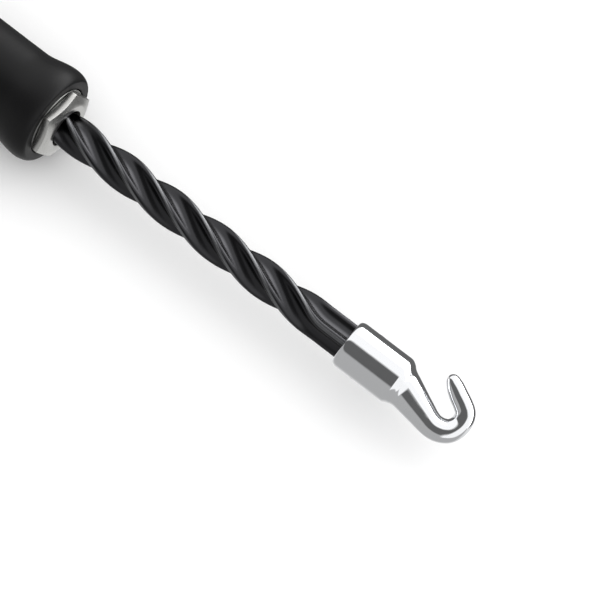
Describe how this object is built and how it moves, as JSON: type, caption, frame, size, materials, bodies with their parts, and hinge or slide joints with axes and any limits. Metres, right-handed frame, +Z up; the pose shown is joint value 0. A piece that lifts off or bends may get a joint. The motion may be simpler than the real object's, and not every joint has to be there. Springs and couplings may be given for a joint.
{
  "type": "wire tie twister",
  "caption": "Hand tool whose black grip draws a long twisted shaft through a fixed nut, spinning the bright J hook at its end to twist wire ties.",
  "frame": {"origin": "on the surface the tool lies on, under the middle of its bounding box", "axes": "+X along the tool towards the hook, +Z up"},
  "size_m": [0.2872, 0.0274, 0.0274],
  "materials": {
    "grip_rubber": "smooth matt soft PVC",
    "bright_chrome": "polished chrome plate",
    "zinc_plate": "satin zinc plate",
    "black_oxide": "oiled black oxide",
    "plain_steel": "turned",
    "spring_steel": "drawn wire",
    "bronze": "turned bearing bronze",
    "black_nylon": "moulded",
    "buffer_rubber": "moulded"
  },
  "bodies": {
    "handle": {"grip_sleeve": "grip_rubber", "handle_tube": "plain_steel", "hex_end_bush": "zinc_plate", "bush_washer": "zinc_plate", "drive_nut": "plain_steel", "drive_nut_screw_left": "black_oxide", "drive_nut_screw_right": "black_oxide", "spring_front_seat": "plain_steel", "return_spring": "spring_steel", "rear_buffer": "buffer_rubber", "end_plug": "plain_steel", "end_cap": "black_nylon", "end_cap_screw": "zinc_plate"},
    "follower": {"follower_piston": "black_nylon", "thrust_washer": "bronze"},
    "spindle": {"spiral_shaft": "black_oxide", "shaft_end_washer": "zinc_plate", "shaft_end_nut": "zinc_plate", "hook": "bright_chrome", "hook_pin": "bright_chrome"}
  },
  "joints": [
    {"name": "shaft_slide", "type": "slide", "parent": "handle", "child": "follower", "axis": [1, 0, 0], "range_m": [0, 0.085], "stiffness_N_per_m": 150, "springref_m": -0.03, "deforming": ["return_spring"]},
    {"name": "shaft_spin", "type": "hinge", "parent": "follower", "child": "spindle", "pos_m": [0, 0, 0.01368], "axis": [1, 0, 0], "range_deg": [0, 508.5]}
  ],
  "couplings": [
    {"joint": "shaft_spin", "follows": "shaft_slide", "rad_per_m": 104.37}
  ]
}
